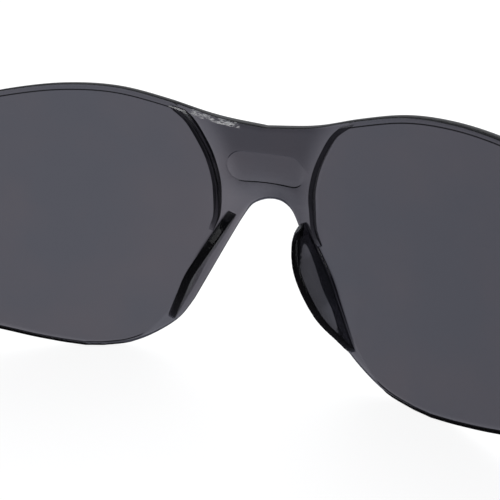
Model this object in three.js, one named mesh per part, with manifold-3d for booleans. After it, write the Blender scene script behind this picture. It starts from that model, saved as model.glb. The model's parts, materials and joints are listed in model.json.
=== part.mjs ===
// Safety glasses: a one-piece wrap-round front with moulded nose flanges, two folding
// temple arms on screw hinges, and a soft sleeve on the end of each arm.
//
// Millimetres. +Z is up and the glasses look along -Y, so +X is the wearer's left.
// They stand open on the lower rims of the front and on the ends of the sleeves.
// The origin is on that plane, in the middle of the glasses' width and depth.

import * as THREE from 'three';
import { mergeVertices } from 'three/addons/utils/BufferGeometryUtils.js';
import Module from 'manifold-3d';

const wasm = await Module();
wasm.setup();

// ---- driving dimensions ---------------------------------------------------------

// Front sheet. Its back surface bends round the face as a shallow toric bowl.
const WRAP_RADIUS = 76;
const RISE_RADIUS = 130;
const SHEET_THICKNESS = 2.0;
const RIM_TO_BOWL_CENTRE = 24.5;   // height of the bowl's lowest-depth point over the table
const BRIDGE_STEP = 0.15;          // the bridge's back lies this far in front of the windows'
const BRIDGE_THICKNESS = 2.3;
const BRIDGE_LAP = 0.998;           // the windows run this little way under the bridge's edge
const SLAB_WIDTH = 148;
const SLAB_HEIGHT = 56;
const SLAB_COLUMNS = 40;
const SLAB_ROWS = 12;
const BRIDGE_WIDTH = 62;
const BRIDGE_COLUMNS = 30;
const BRIDGE_ROWS = 28;
const SADDLE_DEPTH = 3.2;          // the bridge's lower edge rolls this far forward, over the nose
const SADDLE_REACH = 5.5;
const SADDLE_UP = 4.0;             // above this height it fades out
const SADDLE_FADE = 3.5;

// Outlines of the front seen straight on, for the wearer's left half: [across, up],
// with up measured from the bowl's centre.
const TOP_EDGE = [
  [0, 17.5], [8.2, 18.5], [15.9, 20.9], [23.8, 22.9], [31.2, 23.4],
  [38.6, 22.8], [47, 21.2], [56, 18.6], [64, 15.2], [68.6, 12.6], [70, 9.5],
];
const OUTER_EDGE = [
  [70, 2.5], [69, -1.5], [65.5, -7], [59, -13], [50.5, -18.6], [42, -22.0], [36, -23.7], [31.5, -24.5],
];
const NOSE_EDGE = [[28.5, -24.5], [24, -23.8], [20, -22.0], [15.8, -18.9], [13.2, -15.2]];
const ARCH_EDGE = [[6.8, -2.7], [5.1, 0.5], [3.6, 2.7], [1.7, 3.6], [0, 3.8]];
const WINDOW_LINE = [
  [17.9, 23.4], [15.0, 20.4], [11.3, 16.4], [9.1, 11.3], [8.4, 7.3], [8.6, 2.6], [10.8, -3.4],
  [14.8, -11.6], [17.6, -17.4], [21.8, -22.0], [27.5, -26.5],
];

// Low rib along each window's edge, from the top edge down to the nose flange.
const RIB_LINE = [
  [17.4, 22.7], [15.0, 20.4], [12.3, 18.0], [10.3, 14.4], [9.1, 11.3], [8.4, 7.8], [8.4, 4.6],
  [8.7, 1.2], [9.8, -1.6],
];
const RIB_WIDTH = 0.85;
const RIB_HEIGHT = 1.5;
const RIB_TAPER = 0.3;             // share of the line, at each end, over which it rises
const RIB_ROOT = 1.0;
const RIB_STEPS = 28;

// Shallow stadium-shaped recess on the back of the bridge.
const RECESS_LENGTH = 13.8;
const RECESS_HEIGHT = 5.7;
const RECESS_UP = 10.3;
const RECESS_DEPTH = 0.2;

// Nose flanges: thin leaves standing straight back from the sheet beside the nose gap.
const FLANGE_LINE = [[16.8, -18.6], [15.0, -14.9], [13.2, -11.2], [11.3, -7.0], [8.7, -2.6], [6.3, 1.6]];
const FLANGE_THICKNESS = 1.4;
const FLANGE_DEPTH = 7.9;
const FLANGE_LEAN = 0.13;          // how far it leans towards the nose for each mm of depth
const FLANGE_PEAK = 0.63;          // where along the line, from the bottom, it is deepest
const FLANGE_ROOT = 1.2;           // how far the root runs into the sheet
const FLANGE_STEPS = 18;

// Hinges.
const HINGE_X = 66.8;
const HINGE_Y = 37.6;
const HINGE_UP = 6.3;
const LUG_HEIGHT = 10.5;
const EAR_RADIUS = 2.6;
const SLOT_HEIGHT = 4.2;
const SLOT_REACH = 3.2;
const LUG_INNER_Y = 26.4;           // the lug's front face follows the slant of the sheet
const LUG_OUTER_Y = 30.2;
const KNUCKLE_RADIUS = 2.4;
const KNUCKLE_HEIGHT = 3.8;
const SCREW_RADIUS = 0.75;
const BORE_RADIUS = 0.82;
const SCREW_HEAD_RADIUS = 1.7;
const SCREW_HEAD_HEIGHT = 0.8;
const SCREW_HEAD_GAP = 0.05;
const SCREW_TAIL = 0.4;
const DRIVE_SLOT_WIDTH = 0.45;
const DRIVE_SLOT_DEPTH = 0.4;
const ROUND_SIDES = 24;

// Temple arms and sleeves, for the wearer's left: [back, up over the table], following
// the arm's middle line from the hinge to the end of the sleeve.
const TEMPLE_X = 67;
const TEMPLE_LINE = [[40.6, 30.8], [62, 31], [84, 31], [104, 29.6], [124, 23.6], [142, 13.4], [156, 2.4]];
const TEMPLE_BOW = 5.5;            // how far the end of the sleeve lies inward of the hinge
const STRAIGHT_PART = 0.2;         // share of the line, from the hinge, that has no bow
const ARM_THICKNESS = 3.0;
const ARM_FRONT_HEIGHT = 11;
const ARM_MIDDLE_HEIGHT = 7;
const ARM_END_HEIGHT = 4;
const ARM_END = 0.9;               // the arm ends at this share of the line
const SLEEVE_START = 0.52;         // the sleeve starts at this share of the line
const SLEEVE_THICKNESS = 5.2;
const SLEEVE_FRONT_HEIGHT = 8.6;
const SLEEVE_END_HEIGHT = 7.6;
const SLEEVE_CLEARANCE = 0.15;
const SLEEVE_POCKET_EXTRA = 0.006;
const LINE_STEPS = 24;
const LINE_SIDES = 12;
const SQUARENESS = 0.45;           // 1 is an ellipse, 0 a rectangle

const SMOKE = { color: 0x55545d, roughness: 0.08, metalness: 0 };
const SOFT_BLACK = { color: 0x1c1c1e, roughness: 0.75, metalness: 0 };
const STEEL = { color: 0xb4b6ba, roughness: 0.35, metalness: 1 };

// ---- solids ---------------------------------------------------------------------

// A closed three.js geometry as a solid that can be joined and cut.
function solid(geometry) {
  const bare = geometry.clone();
  bare.deleteAttribute('normal');
  bare.deleteAttribute('uv');
  const merged = mergeVertices(bare, 1e-5);
  return new wasm.Manifold(new wasm.Mesh({
    numProp: 3,
    vertProperties: new Float32Array(merged.attributes.position.array),
    triVerts: new Uint32Array(merged.index.array),
  }));
}

function geometryOf(body) {
  const mesh = body.getMesh();
  const geometry = new THREE.BufferGeometry();
  geometry.setAttribute('position', new THREE.BufferAttribute(mesh.vertProperties, 3));
  geometry.setIndex(new THREE.BufferAttribute(mesh.triVerts, 1));
  return geometry;
}

// The same geometry for the wearer's other side, with its faces still pointing out.
function mirrored(geometry) {
  const copy = geometry.clone();
  copy.scale(-1, 1, 1);
  const index = copy.index.array;
  for (let i = 0; i < index.length; i += 3) {
    const second = index[i + 1];
    index[i + 1] = index[i + 2];
    index[i + 2] = second;
  }
  return copy;
}

// Moves every vertex of a geometry to move(vertex).
function reshaped(geometry, move) {
  const position = geometry.attributes.position;
  const vertex = new THREE.Vector3();
  for (let i = 0; i < position.count; i += 1) {
    vertex.fromBufferAttribute(position, i);
    const moved = move(vertex);
    position.setXYZ(i, moved.x, moved.y, moved.z);
  }
  return geometry;
}

// An outline in the XZ plane, carried along Y.
function prism(outline, front, back) {
  const geometry = new THREE.ExtrudeGeometry(new THREE.Shape(outline), {
    depth: back - front, bevelEnabled: false,
  });
  geometry.rotateX(Math.PI / 2);
  geometry.translate(0, back, RIM_TO_BOWL_CENTRE);
  return solid(geometry);
}

// An outline in the XY plane, carried up along Z.
function plate(shape, bottom, top) {
  const geometry = new THREE.ExtrudeGeometry(shape, {
    depth: top - bottom, bevelEnabled: false, curveSegments: ROUND_SIDES / 2,
  });
  geometry.translate(0, 0, bottom);
  return solid(geometry);
}

function smooth(points, steps) {
  const curve = new THREE.SplineCurve(points.map(([x, y]) => new THREE.Vector2(x, y)));
  return curve.getPoints(steps);
}

// ---- front ----------------------------------------------------------------------

function bowl(x, up) {
  const aside = x / SADDLE_REACH;
  const above = Math.max(0, up - SADDLE_UP) / SADDLE_FADE;
  const saddle = SADDLE_DEPTH * Math.exp(-aside * aside - above * above);
  return x * x / (2 * WRAP_RADIUS) + up * up / (2 * RISE_RADIUS) - saddle;
}

// A curved slab that follows the bowl between two offsets, square to its surface.
function slab(front, back, width = SLAB_WIDTH, columns = SLAB_COLUMNS, rows = SLAB_ROWS) {
  const grid = new THREE.BoxGeometry(width, 1, SLAB_HEIGHT, columns, 1, rows);
  return solid(reshaped(grid, (v) => {
    const slope = Math.hypot(1, v.x / WRAP_RADIUS, v.z / RISE_RADIUS);
    const offset = THREE.MathUtils.lerp(front, back, v.y + 0.5);
    return new THREE.Vector3(v.x, bowl(v.x, v.z) + offset * slope, v.z + RIM_TO_BOWL_CENTRE);
  }));
}

// A half outline with its mirror image, as one closed loop.
function bothHalves(half) {
  const other = half.filter((p) => p.x > 0).map((p) => new THREE.Vector2(-p.x, p.y));
  return [...half, ...other.reverse()];
}

function frontOutline() {
  return bothHalves([
    ...smooth(TOP_EDGE, 22),
    ...smooth(OUTER_EDGE, 20),
    ...smooth(NOSE_EDGE, 10),
    ...smooth(ARCH_EDGE, 10),
  ]);
}

function bridgeOutline(share = 1) {
  return bothHalves(smooth(WINDOW_LINE, 24).map((p) => new THREE.Vector2(p.x * share, p.y)));
}

function recessOutline() {
  const radius = RECESS_HEIGHT / 2;
  const reach = RECESS_LENGTH / 2 - radius;
  const shape = new THREE.Shape();
  shape.absarc(reach, RECESS_UP, radius, -Math.PI / 2, Math.PI / 2);
  shape.absarc(-reach, RECESS_UP, radius, Math.PI / 2, 3 * Math.PI / 2);
  return shape.getPoints(8);
}

// Depth of a nose flange at a share of its line, from 0 at the bottom to 1 at the top.
function flangeDepth(share) {
  const below = share < FLANGE_PEAK;
  const away = Math.abs(share - FLANGE_PEAK) / (below ? FLANGE_PEAK : 1 - FLANGE_PEAK);
  const fullness = below ? 1.65 : 2.4;
  const roundness = below ? 1.1 : 0.7;
  return FLANGE_DEPTH * Math.pow(1 - Math.pow(away, fullness), roundness);
}

function noseFlange() {
  const line = new THREE.SplineCurve(FLANGE_LINE.map(([x, y]) => new THREE.Vector2(x, y)));
  const block = new THREE.BoxGeometry(1, 1, 1, 1, 1, FLANGE_STEPS);
  return reshaped(block, (v) => {
    const share = v.z + 0.5;
    const spot = line.getPoint(share);
    const along = line.getTangent(share);
    const x = spot.x + along.y * v.x * FLANGE_THICKNESS;
    const up = spot.y - along.x * v.x * FLANGE_THICKNESS;
    const depth = v.y > 0 ? flangeDepth(share) : -FLANGE_ROOT;
    return new THREE.Vector3(x - depth * FLANGE_LEAN, bowl(x, up) + depth, up + RIM_TO_BOWL_CENTRE);
  });
}

// Low rib along a window's edge, with its top parallel to the sheet.
function windowRib() {
  const line = new THREE.SplineCurve(RIB_LINE.map(([x, y]) => new THREE.Vector2(x, y)));
  const block = new THREE.BoxGeometry(1, 1, 1, 1, 1, RIB_STEPS);
  return reshaped(block, (v) => {
    const share = v.z + 0.5;
    const spot = line.getPoint(share);
    const along = line.getTangent(share);
    const x = spot.x + along.y * v.x * RIB_WIDTH;
    const up = spot.y - along.x * v.x * RIB_WIDTH;
    const rise = Math.min(1, share / RIB_TAPER, (1 - share) / RIB_TAPER);
    const depth = v.y > 0 ? RIB_HEIGHT * Math.sqrt(rise) : -RIB_ROOT;
    return new THREE.Vector3(x, bowl(x, up) + depth, up + RIM_TO_BOWL_CENTRE);
  });
}

const HINGE_Z = RIM_TO_BOWL_CENTRE + HINGE_UP;

function hingeBore(height) {
  const hole = new THREE.CylinderGeometry(BORE_RADIUS, BORE_RADIUS, height, ROUND_SIDES);
  hole.rotateX(Math.PI / 2);
  hole.translate(HINGE_X, HINGE_Y, HINGE_Z);
  return solid(hole);
}

// Block behind the end of the sheet that ends in two round ears for the hinge.
function hingeLug() {
  const shape = new THREE.Shape();
  shape.moveTo(HINGE_X - EAR_RADIUS, LUG_INNER_Y);
  shape.lineTo(HINGE_X + EAR_RADIUS - 0.1, LUG_OUTER_Y);
  shape.lineTo(HINGE_X + EAR_RADIUS, HINGE_Y);
  shape.absarc(HINGE_X, HINGE_Y, EAR_RADIUS, 0, Math.PI);
  const bottom = HINGE_Z - LUG_HEIGHT / 2;
  const block = plate(shape, bottom, bottom + LUG_HEIGHT);
  const gap = new THREE.BoxGeometry(4 * EAR_RADIUS, 4 * EAR_RADIUS, SLOT_HEIGHT);
  gap.translate(HINGE_X, HINGE_Y - SLOT_REACH + 2 * EAR_RADIUS, HINGE_Z);
  return block.subtract(solid(gap)).subtract(hingeBore(2 * LUG_HEIGHT));
}

function lensFront() {
  const depth = [-10, 80];
  const sheet = slab(-SHEET_THICKNESS, 0).subtract(prism(bridgeOutline(BRIDGE_LAP), ...depth));
  const fine = [BRIDGE_WIDTH, BRIDGE_COLUMNS, BRIDGE_ROWS];
  const bridge = slab(-BRIDGE_STEP - BRIDGE_THICKNESS, -BRIDGE_STEP, ...fine)
    .intersect(prism(bridgeOutline(), ...depth));
  const recess = slab(-BRIDGE_STEP - RECESS_DEPTH, 3, ...fine)
    .intersect(prism(recessOutline(), ...depth));
  const rib = windowRib();
  const front = sheet.add(bridge).subtract(recess).add(solid(rib)).add(solid(mirrored(rib)))
    .intersect(prism(frontOutline(), ...depth));
  const flange = noseFlange();
  const lug = hingeLug();
  const whole = front.add(solid(flange)).add(solid(mirrored(flange)))
    .add(lug).add(solid(mirrored(geometryOf(lug))));
  return geometryOf(whole);
}

// ---- hinge screws ---------------------------------------------------------------

function hingeScrew() {
  const top = LUG_HEIGHT / 2 + SCREW_HEAD_GAP;
  const profile = [
    [0, -LUG_HEIGHT / 2 - SCREW_TAIL],
    [SCREW_RADIUS * 0.7, -LUG_HEIGHT / 2 - SCREW_TAIL],
    [SCREW_RADIUS, -LUG_HEIGHT / 2],
    [SCREW_RADIUS, top],
    [SCREW_HEAD_RADIUS, top],
    [SCREW_HEAD_RADIUS, top + SCREW_HEAD_HEIGHT * 0.5],
    [SCREW_HEAD_RADIUS * 0.7, top + SCREW_HEAD_HEIGHT],
    [0, top + SCREW_HEAD_HEIGHT],
  ].map(([r, z]) => new THREE.Vector2(r, z));
  const turned = new THREE.LatheGeometry(profile, ROUND_SIDES);
  turned.rotateX(Math.PI / 2);
  const slot = new THREE.BoxGeometry(4 * SCREW_HEAD_RADIUS, DRIVE_SLOT_WIDTH, 2 * DRIVE_SLOT_DEPTH);
  slot.translate(0, 0, top + SCREW_HEAD_HEIGHT);
  const geometry = geometryOf(solid(turned).subtract(solid(slot)));
  geometry.translate(HINGE_X, HINGE_Y, HINGE_Z);
  return geometry;
}

// ---- temples --------------------------------------------------------------------

const templeCurve = new THREE.SplineCurve(TEMPLE_LINE.map(([y, z]) => new THREE.Vector2(y, z)));

// Swells a circle's coordinate towards a square; what is nearly on the axis stays on it.
function squared(value) {
  const size = Math.abs(value);
  return size < 1e-9 ? 0 : Math.sign(value) * Math.pow(size, SQUARENESS);
}

// A closed bar along the temple's line between two shares of it. thickness and
// height(share) are its full sizes, and its sections are rounded rectangles.
function templeBar(start, end, thickness, height, steps = LINE_STEPS) {
  const rod = new THREE.CylinderGeometry(1, 1, 1, LINE_SIDES, steps, false, Math.PI / LINE_SIDES);
  return reshaped(rod, (v) => {
    const share = THREE.MathUtils.lerp(start, end, v.y + 0.5);
    const spot = templeCurve.getPointAt(share);
    const along = templeCurve.getTangentAt(share);
    const bow = Math.max(0, (share - STRAIGHT_PART) / (1 - STRAIGHT_PART));
    const across = squared(v.x) * thickness / 2;
    const rise = squared(v.z) * height(share) / 2;
    return new THREE.Vector3(
      TEMPLE_X + across - TEMPLE_BOW * bow * bow,
      spot.x - along.y * rise,
      spot.y + along.x * rise,
    );
  });
}

function armHeight(share) {
  const taper = THREE.MathUtils.smoothstep(share, 0, SLEEVE_START * 0.8);
  const tail = THREE.MathUtils.smoothstep(share, SLEEVE_START * 0.8, ARM_END);
  const shaft = THREE.MathUtils.lerp(ARM_FRONT_HEIGHT, ARM_MIDDLE_HEIGHT, taper);
  return THREE.MathUtils.lerp(shaft, ARM_END_HEIGHT, tail);
}

function sleeveHeight(share) {
  const along = (share - SLEEVE_START) / (1 - SLEEVE_START);
  const swell = 1 - 0.12 * Math.sin(Math.PI * along);
  return THREE.MathUtils.lerp(SLEEVE_FRONT_HEIGHT, SLEEVE_END_HEIGHT, along) * swell;
}

function templeArm() {
  const shape = new THREE.Shape();
  const neck = ARM_THICKNESS / 2;
  shape.moveTo(HINGE_X - neck, HINGE_Y);
  shape.absarc(HINGE_X, HINGE_Y, KNUCKLE_RADIUS, Math.PI, 2 * Math.PI);
  shape.lineTo(TEMPLE_X + neck - 0.3, TEMPLE_LINE[0][0] + 2);
  shape.lineTo(TEMPLE_X - neck + 0.3, TEMPLE_LINE[0][0] + 2);
  const knuckle = plate(shape, HINGE_Z - KNUCKLE_HEIGHT / 2, HINGE_Z + KNUCKLE_HEIGHT / 2);
  const bar = solid(templeBar(0, ARM_END, ARM_THICKNESS, armHeight));
  return geometryOf(bar.add(knuckle).subtract(hingeBore(2 * LUG_HEIGHT)));
}

function templeSleeve() {
  const skin = templeBar(SLEEVE_START, 1, SLEEVE_THICKNESS, sleeveHeight, LINE_STEPS / 2);
  const table = new THREE.BoxGeometry(40, 80, 20);
  table.translate(TEMPLE_X, TEMPLE_LINE.at(-1)[0], -10);
  const clear = (share) => armHeight(share) + 2 * SLEEVE_CLEARANCE;
  const pocket = templeBar(
    SLEEVE_START - 0.02, ARM_END + SLEEVE_POCKET_EXTRA, ARM_THICKNESS + 2 * SLEEVE_CLEARANCE, clear,
  );
  return geometryOf(solid(skin).subtract(solid(pocket)).subtract(solid(table)));
}

// ---- assembly -------------------------------------------------------------------

const glasses = new THREE.Group();

function place(name, geometry, look) {
  const mesh = new THREE.Mesh(geometry, new THREE.MeshStandardMaterial(look));
  mesh.name = name;
  glasses.add(mesh);
}

function placePair(name, geometry, look) {
  place(`left_${name}`, geometry, look);
  place(`right_${name}`, mirrored(geometry), look);
}

place('lens_front', lensFront(), SMOKE);
placePair('temple_arm', templeArm(), SMOKE);
placePair('temple_sleeve', templeSleeve(), SOFT_BLACK);
placePair('hinge_screw', hingeScrew(), STEEL);

const extent = new THREE.Box3().setFromObject(glasses);
glasses.position.set(0, -(extent.min.y + extent.max.y) / 2, 0);

export default glasses;
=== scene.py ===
"""Safety glasses: smoke polycarbonate front, folding arms with soft sleeves, steel hinge screws."""
import json
import math

import bmesh
import bpy
import numpy as np
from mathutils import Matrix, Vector
from mathutils.geometry import delaunay_2d_cdt


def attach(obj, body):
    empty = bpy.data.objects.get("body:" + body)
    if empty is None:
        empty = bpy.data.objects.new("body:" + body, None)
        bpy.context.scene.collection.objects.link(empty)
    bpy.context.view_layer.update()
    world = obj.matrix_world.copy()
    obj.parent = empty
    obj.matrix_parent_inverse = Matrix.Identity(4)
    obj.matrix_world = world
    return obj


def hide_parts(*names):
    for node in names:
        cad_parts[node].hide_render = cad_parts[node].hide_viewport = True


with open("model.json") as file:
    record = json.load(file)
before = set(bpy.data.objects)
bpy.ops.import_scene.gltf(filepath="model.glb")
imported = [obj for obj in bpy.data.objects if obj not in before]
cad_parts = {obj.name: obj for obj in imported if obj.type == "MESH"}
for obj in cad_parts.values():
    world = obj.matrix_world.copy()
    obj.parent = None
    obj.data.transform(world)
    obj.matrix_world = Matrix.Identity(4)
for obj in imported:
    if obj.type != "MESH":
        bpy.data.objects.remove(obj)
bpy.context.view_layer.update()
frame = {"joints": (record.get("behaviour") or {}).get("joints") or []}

MM = 0.001

# ---- driving dimensions, in millimetres -------------------------------------------------

# The sheet's back surface is a shallow bowl. Its profile points are [across, up], with up
# measured from the bowl's centre.
WRAP_RADIUS = 76.0
RISE_RADIUS = 130.0
RIM_TO_BOWL_CENTRE = 24.5
SHEET_THICKNESS = 2.0
SADDLE_DEPTH = 3.2              # the bridge's lower edge rolls this far forward, over the nose
SADDLE_REACH = 5.5
SADDLE_UP = 4.0                 # above this height the roll fades out
SADDLE_FADE = 3.5
BRIDGE_STEP = 0.15              # the bridge's back lies this far in front of the windows'
STEP_WIDTH = 0.3
BRIDGE_THICKNESS = (2.12, 2.42)  # over the arch, and along the top edge
BRIDGE_THICK_UP = (3.0, 13.0)
BRIDGE_EASE = 4.0               # the bridge's front face thickens over this far from the windows
BRIDGE_LINE_ENDS = (-25.2, 22.2)  # the step's lines stop before the outline, at these heights

# The rim is rounded, with mesh lines at these distances from the outline.
RIM_ROUND = 0.85
RIM_RINGS = (0, 0.02, 0.08, 0.18, 0.32, 0.48, 0.66, 0.78, 0.88, 0.98, 1.08)

# Marks on the front's mesh that its material reads: painted shade on the rim, ribs and flanges, and a
# painted highlight.
RIM_LINE = (0.83, 1.03)         # the edge where the rounding meets the face, drawn as a line of painted shade
TIP_WIDTH = 0.088               # takes in the rings next to the outline
TIP_UP = 5                      # only the upper edges get an outermost line of painted shade
GLINT_SPAN = (4.5, 12.4)        # painted highlight: pale glint streaks along the bridge's top edge
GLINT_GAP = (0.15, 0.9)
GLINT_UP = 10
ON_FACE = 0.02                  # a vertex this close to a face counts as on it
MIDDLE_HALF = 20.0              # ribs and flanges are within this distance of the middle
RIB_FROM = 0.7                  # heights over the sheet, and how much painted shade the ribs and flanges get there
FLANGE_FROM = 2.0
RIB_SHADE = 0.4
FLANGE_SHADE = 0.35

TOP_EDGE = [(0, 17.5), (8.2, 18.5), (15.9, 20.9), (23.8, 22.9), (31.2, 23.4), (38.6, 22.8),
            (47, 21.2), (56, 18.6), (64, 15.2), (68.6, 12.6), (70, 9.5)]
OUTER_EDGE = [(70, 2.5), (69, -1.5), (65.5, -7), (59, -13), (50.5, -18.6), (42, -22.0),
              (36, -23.7), (31.5, -24.5)]
NOSE_EDGE = [(28.5, -24.5), (24, -23.8), (20, -22.0), (15.8, -18.9), (13.2, -15.2)]
ARCH_EDGE = [(6.8, -2.7), (5.1, 0.5), (3.6, 2.7), (1.7, 3.6), (0, 3.8)]
WINDOW_LINE = [(17.9, 23.4), (15.0, 20.4), (11.3, 16.4), (9.1, 11.3), (8.4, 7.3), (8.6, 2.6),
               (10.8, -3.4), (14.8, -11.6), (17.6, -17.4), (21.8, -22.0), (27.5, -26.5)]

# Low rib along each window's edge.
RIB_LINE = [(17.4, 22.7), (15.0, 20.4), (12.3, 18.0), (10.3, 14.4), (9.1, 11.3), (8.4, 7.8),
            (8.4, 4.6), (8.7, 1.2), (9.8, -1.6)]
RIB_WIDTH = 0.85
RIB_HEIGHT = 1.5
RIB_LEAST = 0.01                # height at its very ends
RIB_ROOT = 1.0
RIB_TAPER = 0.3                 # share of the line, at each end, over which it rises
RIB_ROUND = 0.16
RIB_INSET = 0.5                 # ribs end this far inside the outline, cut off by a deep prism
RIB_CUTTER_DEPTHS = (-5.0, 45.0)

# Shallow stadium-shaped recess on the back of the bridge.
RECESS_LENGTH = 13.8
RECESS_HEIGHT = 5.7
RECESS_UP = 10.3
RECESS_DEPTH = 0.2
RECESS_ROUND = 0.2

# Nose flanges: thin leaves that stand back from the sheet beside the nose gap.
FLANGE_LINE = [(16.8, -18.6), (15.0, -14.9), (13.2, -11.2), (11.3, -7.0), (8.7, -2.6), (6.3, 1.6)]
FLANGE_THICKNESS = 1.4
FLANGE_DEPTH = 7.9
FLANGE_LEAN = 0.13              # how far it leans towards the nose for each mm of depth
FLANGE_PEAK = 0.63              # where along the line, from the bottom, it is deepest
FLANGE_BELOW = (1.65, 1.1)      # fullness and roundness of its outline below and over the peak
FLANGE_ABOVE = (2.4, 0.7)
FLANGE_SINK = 0.3               # its ends run this far into the sheet
FLANGE_END = -0.2               # no section is cut off lower than this
FLANGE_ROOT = 1.2
FLANGE_ROUND = 0.4
FLANGE_DRAFT = 0.25             # how much thicker each side is at the root
FLANGE_FILLET = 0.6             # on the window side

# Mesh density.
GRID_PITCH = 1.1
GRID_MARGIN = 0.4
LINE_PITCH = 0.45
TEMPLE_PITCH = 0.05
GRID_ACROSS = (-70, 70.1)
GRID_UP = (-25, 24.1)
PROBE = 0.2                     # a step off the outline that tells which side is inside

# Hinges.
HINGE_BACK = 37.6
LUG_HEIGHT = 10.5
EAR_RADIUS = 2.6
LUG_EDGE = 0.3
LUG_INSET = 0.1                 # on the outer side, where it meets the sheet
SLOT_HEIGHT = 4.2
SLOT_REACH = 3.2
LUG_INNER_BACK = 26.4
LUG_OUTER_BACK = 30.2
BORE_RADIUS = 0.82
KNUCKLE_RADIUS = 2.4
KNUCKLE_HEIGHT = 3.8
KNUCKLE_EDGE = 0.2
KNUCKLE_INSET = 0.3             # its root is this much narrower than the arm, on each side
KNUCKLE_RUN = 2                 # how far it runs into the arm
SCREW_RADIUS = 0.75
SCREW_HEAD_RADIUS = 1.7
SCREW_HEAD_HEIGHT = 0.8
SCREW_HEAD_EDGE = 0.35          # the dome starts this far up the head
SCREW_HEAD_CHAMFER = (0.15, 0.12)
SCREW_CROWN = 0.12              # radius of the small flat on top of the dome
SCREW_TIP = (0.7, 0.2)          # the tail's end: share of the radius, and length of its chamfer
SCREW_HEAD_GAP = 0.05
SCREW_TAIL = 0.4
DRIVE_SLOT_WIDTH = 0.45
DRIVE_SLOT_DEPTH = 0.4
DRIVE_CUTTER_TOP = 3            # over the head's seat
ARM_BORE_LENGTH = 30

# Exact normals go on the sheet's faces, from this share of the rim's rounding inward, on corners
# that lie this close to the surface and agree this well with their face.
POLISH_FROM = 0.12
POLISH_GAP = 2e-3
POLISH_AGREEMENT = 0.9
NORMAL_STEP = 0.02

# Arms and sleeves. The line is [back, up over the floor]; shares run from 0 at the hinge to 1.
TEMPLE_X = 67.0
TEMPLE_LINE = [(40.6, 30.8), (62, 31), (84, 31), (104, 29.6), (124, 23.6), (142, 13.4), (156, 2.4)]
TEMPLE_BOW = 5.5                # how far the end of the sleeve lies inward of the hinge
STRAIGHT_PART = 0.2
SQUARENESS = 0.45               # 1 is an ellipse, 0 a rectangle
ARM_THICKNESS = 3.0
ARM_HEIGHTS = (11.0, 7.0, 4.0)
ARM_BEND = 0.8                  # share of the way to the sleeve where the middle height is
ARM_END = 0.9
ARM_ROUND = 0.45
ARM_ROUND_REACH = 0.006         # share of the line over which an end rounds in
SLEEVE_START = 0.52
SLEEVE_THICKNESS = 5.2
SLEEVE_HEIGHTS = (8.6, 7.6)
SLEEVE_WAIST = 0.12
SLEEVE_CLEARANCE = 0.15
SLEEVE_POCKET_LEAD = 0.02       # the pocket's cutter starts before the sleeve, by this share
SLEEVE_POCKET_EXTRA = 0.006
SLEEVE_ROUND = 0.9
SLEEVE_ROUND_END = 1.2          # past the sleeve's end, so that only its mouth is rounded
SLEEVE_LIP = 0.01               # share of the line over which the mouth rounds in
FIRST_SHARE_TURN = 0.12         # the first section of a rounded end lies this angle past its edge
FLOOR_BLOCK_ACROSS = (40, 90)   # a block under the floor cuts the sleeves' ends flat
FLOOR_BLOCK_HALF = 40
FLOOR_BLOCK_DEPTH = 20
GRIP_RINGS = 9
GRIP_DEPTH = 0.35
GRIP_SPAN = (0.12, 0.52)        # where along the sleeve the grip rings are

# Set and camera.
FLOOR_SIZE = 6.0                # metres
FLOOR_GLOW = 0.9
FLOOR_TONE = 0.25
PANELS = {                      # place and size in metres, and power
    "back_panel": ((0.15, -1.0, 1.0), 1.3, 6.0),
    "side_panel": ((-0.9, 0.3, 0.8), 0.8, 1.0),
}
DOME_DIRECTION = (0.0, -0.7, 0.7)
DOME_DIM = (0.04, 0.04, 0.045)
DOME_BRIGHT = (0.5, 0.52, 0.56)
SMOKE_DENSITY = 1200.0
SMOKE_TONE = (0.063, 0.053, 0.110)
CAMERA_AZIMUTH = math.radians(202.4)
CAMERA_ELEVATION = math.radians(22.95)
CAMERA_DISTANCE = 166.4
CAMERA_LENS = 70.7
CAMERA_ASIDE = 2.84
CAMERA_TARGET_UP = 20.07

# ---- places from the frame -----------------------------------------------------------

JOINTS = {joint["name"]: joint for joint in frame["joints"]}
HINGE = Vector(JOINTS["left_temple_fold"]["pos_m"]) / MM
BOWL_Y = HINGE.y - HINGE_BACK


# ---- curves ---------------------------------------------------------------------------

def catmull(points, steps):
    """A smooth open curve through the points, the same one that the frame's outline uses."""
    pts = np.array(points, float)
    last = len(pts) - 1
    out = []
    for i in range(steps + 1):
        p = last * i / steps
        k = min(int(p), last - 1)
        t = p - k
        p0, p1, p2, p3 = pts[max(k - 1, 0)], pts[k], pts[k + 1], pts[min(k + 2, last)]
        v0, v1 = (p2 - p0) / 2, (p3 - p1) / 2
        out.append((2 * p1 - 2 * p2 + v0 + v1) * t**3 + (-3 * p1 + 3 * p2 - 2 * v0 - v1) * t * t
                   + v0 * t + p1)
    return np.array(out)


def even(points, pitch, closed=False):
    """The same curve, with its points spread evenly."""
    pts = np.vstack([points, points[:1]]) if closed else np.asarray(points)
    along = np.r_[0, np.cumsum(np.hypot(*np.diff(pts, axis=0).T))]
    count = max(int(round(along[-1] / pitch)), 2)
    at = np.linspace(0, along[-1], count + 1)
    out = np.stack([np.interp(at, along, pts[:, 0]), np.interp(at, along, pts[:, 1])], 1)
    return out[:-1] if closed else out


def both_halves(half):
    """The curve and its mirror image, in one loop."""
    other = half[half[:, 0] > 1e-6] * (-1, 1)
    return np.vstack([half, other[::-1]])


def normals_of(line, closed):
    """Unit normals of a 2D line, to the left of its direction."""
    if closed:
        d = np.roll(line, -1, 0) - np.roll(line, 1, 0)
    else:
        d = np.gradient(line, axis=0)
    d /= np.maximum(np.hypot(d[:, 0], d[:, 1])[:, None], 1e-12)
    return np.stack([-d[:, 1], d[:, 0]], 1)


def tangents_of(line):
    """Unit tangents of an open 2D line."""
    along = np.gradient(line, axis=0)
    return along / np.hypot(*along.T)[:, None]


def full_turn(sides):
    return np.linspace(0, 2 * math.pi, sides, endpoint=False)


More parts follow.
